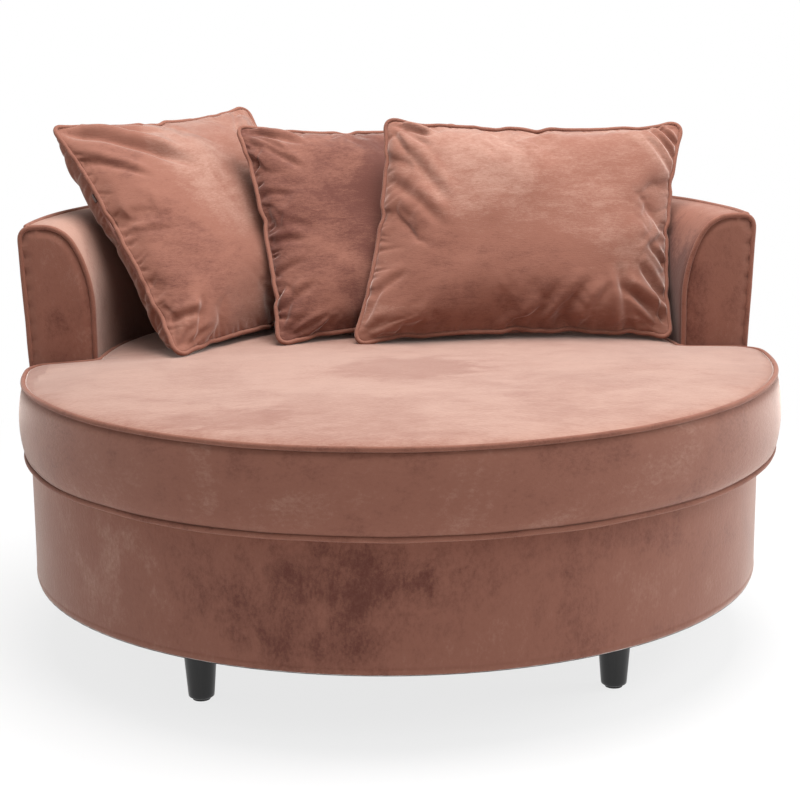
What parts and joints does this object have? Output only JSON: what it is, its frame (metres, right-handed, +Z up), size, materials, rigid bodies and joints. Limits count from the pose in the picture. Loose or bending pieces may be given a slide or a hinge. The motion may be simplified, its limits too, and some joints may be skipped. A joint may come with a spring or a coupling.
{
  "type": "round armchair",
  "caption": "Low round armchair: a drum base and wrap-round back in velvet, a thick piped round seat cushion and loose piped pillows, on short turned legs.",
  "frame": {"origin": "on the floor under the middle of the seat cushion, which is the middle of the plan box", "axes": "+X to the right as seen from in front of the chair, the sitter faces -Y, +Z up"},
  "size_m": [1.294, 1.2909, 0.8657],
  "materials": {
    "velvet": "soft brushed velvet in dusty rose, matt with a light sheen at grazing angles",
    "velvet_piping": "bias-cut velvet sewn over a cord, the same dusty rose",
    "leg_black": "turned wood, satin black lacquer",
    "glide_black": "hard black plastic glide",
    "zinc_steel": "zinc-plated steel",
    "plywood": "bare birch plywood",
    "tackboard": "bent hardboard, smooth and brown",
    "foam": "upholstery foam, pale cream",
    "wadding": "white polyester wadding",
    "webbing": "woven elastic webbing, black",
    "lining": "black spun lining cloth",
    "zip_tape": "woven zip tape with moulded teeth, rose",
    "zip_metal": "small cast zip slider, dull nickel"
  },
  "bodies": {
    "root": {"leg_front_left": "leg_black", "leg_front_right": "leg_black", "leg_rear_left": "leg_black", "leg_rear_right": "leg_black", "leg_glides": "glide_black", "leg_fasteners": "zinc_steel", "base_bottom_ring": "plywood", "base_top_ring": "plywood", "base_posts": "plywood", "webbing": "webbing", "base_tackboard": "tackboard", "base_wrap": "wadding", "base_cover": "velvet", "dust_cover": "lining", "deck_felt": "wadding", "deck_cover": "lining", "back_bottom_rail": "plywood", "back_stretch_rail": "plywood", "back_top_rail": "plywood", "back_inner_board": "tackboard", "back_outer_board": "tackboard", "back_posts": "plywood", "arm_board_left": "plywood", "arm_board_right": "plywood", "back_foam": "foam", "back_top_foam": "foam", "back_outer_wadding": "wadding", "back_top_piping": "velvet_piping", "arm_piping_left": "velvet_piping", "arm_piping_right": "velvet_piping", "arm_facing_left": "velvet", "arm_facing_right": "velvet", "outside_back_cover": "velvet", "inside_back_cover": "velvet"},
    "seat_cushion": {"seat_piping_bottom": "velvet_piping", "seat_piping_top": "velvet_piping", "seat_under_panel": "velvet", "seat_boxing": "velvet", "seat_top_panel": "velvet", "seat_foam": "foam", "seat_zip_tape": "zip_tape"},
    "seat_zip_slider": {"seat_zip_slider": "zip_metal"},
    "pillow_left": {"pillow_left_front_panel": "velvet", "pillow_left_back_panel": "velvet", "pillow_left_filling": "wadding", "pillow_left_piping": "velvet_piping", "pillow_left_zip_tape": "zip_tape"},
    "pillow_left_zip_slider": {"pillow_left_zip_slider": "zip_metal"},
    "pillow_middle": {"pillow_middle_front_panel": "velvet", "pillow_middle_back_panel": "velvet", "pillow_middle_filling": "wadding", "pillow_middle_piping": "velvet_piping", "pillow_middle_zip_tape": "zip_tape"},
    "pillow_middle_zip_slider": {"pillow_middle_zip_slider": "zip_metal"},
    "pillow_right": {"pillow_right_front_panel": "velvet", "pillow_right_back_panel": "velvet", "pillow_right_filling": "wadding", "pillow_right_piping": "velvet_piping", "pillow_right_zip_tape": "zip_tape"},
    "pillow_right_zip_slider": {"pillow_right_zip_slider": "zip_metal"}
  },
  "joints": [
    {"name": "seat_lift", "type": "slide", "parent": "root", "child": "seat_cushion", "axis": [0, 0, 1], "range_m": [0, 0.4]},
    {"name": "seat_zip", "type": "hinge", "parent": "seat_cushion", "child": "seat_zip_slider", "pos_m": [0, 0.024, 0.409], "axis": [0, 0, 1], "range_deg": [0, 98]},
    {"name": "pillow_left_lift", "type": "slide", "parent": "seat_cushion", "child": "pillow_left", "axis": [0, 0, 1], "range_m": [0, 0.45]},
    {"name": "pillow_middle_lift", "type": "slide", "parent": "pillow_left", "child": "pillow_middle", "axis": [0, 0, 1], "range_m": [0, 0.45]},
    {"name": "pillow_right_lift", "type": "slide", "parent": "pillow_middle", "child": "pillow_right", "axis": [0, 0, 1], "range_m": [0, 0.45]},
    {"name": "pillow_left_zip", "type": "slide", "parent": "pillow_left", "child": "pillow_left_zip_slider", "axis": [0.4459, -0.4908, -0.7486], "range_m": [0, 0.18]},
    {"name": "pillow_middle_zip", "type": "slide", "parent": "pillow_middle", "child": "pillow_middle_zip_slider", "axis": [0.9265, 0.3762, 0], "range_m": [0, 0.18]},
    {"name": "pillow_right_zip", "type": "slide", "parent": "pillow_right", "child": "pillow_right_zip_slider", "axis": [0.9994, 0.034, -0.0047], "range_m": [0, 0.18]}
  ]
}
